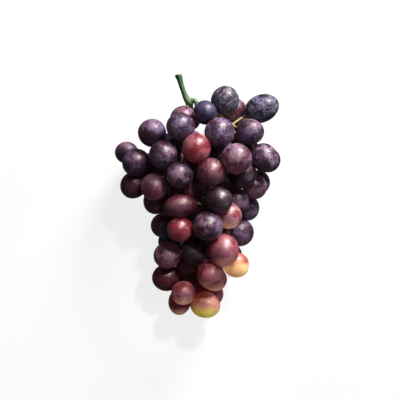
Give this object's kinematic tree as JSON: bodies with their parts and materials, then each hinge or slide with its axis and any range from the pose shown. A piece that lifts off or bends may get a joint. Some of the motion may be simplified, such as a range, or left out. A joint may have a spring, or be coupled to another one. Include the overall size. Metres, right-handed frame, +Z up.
{
  "type": "bunch of grapes",
  "caption": "Bunch of about eighty red and purple table grapes on a green stalk, lying on its side, with a few red to amber berries at the tip.",
  "frame": {"origin": "on the surface the bunch lies on, under the middle of its outline", "axes": "+Y along the bunch toward the cut end of its stalk, +X to the right seen from above, +Z up"},
  "size_m": [0.1247, 0.1838, 0.0756],
  "materials": {
    "stalk": "matte green stem",
    "ripe_berries": "dark purple skin with a waxy bloom",
    "tip_berries": "red to amber skin"
  },
  "bodies": {
    "root": {"stalk": "stalk", "ripe_berries": "ripe_berries", "tip_berries": "tip_berries"}
  },
  "joints": []
}
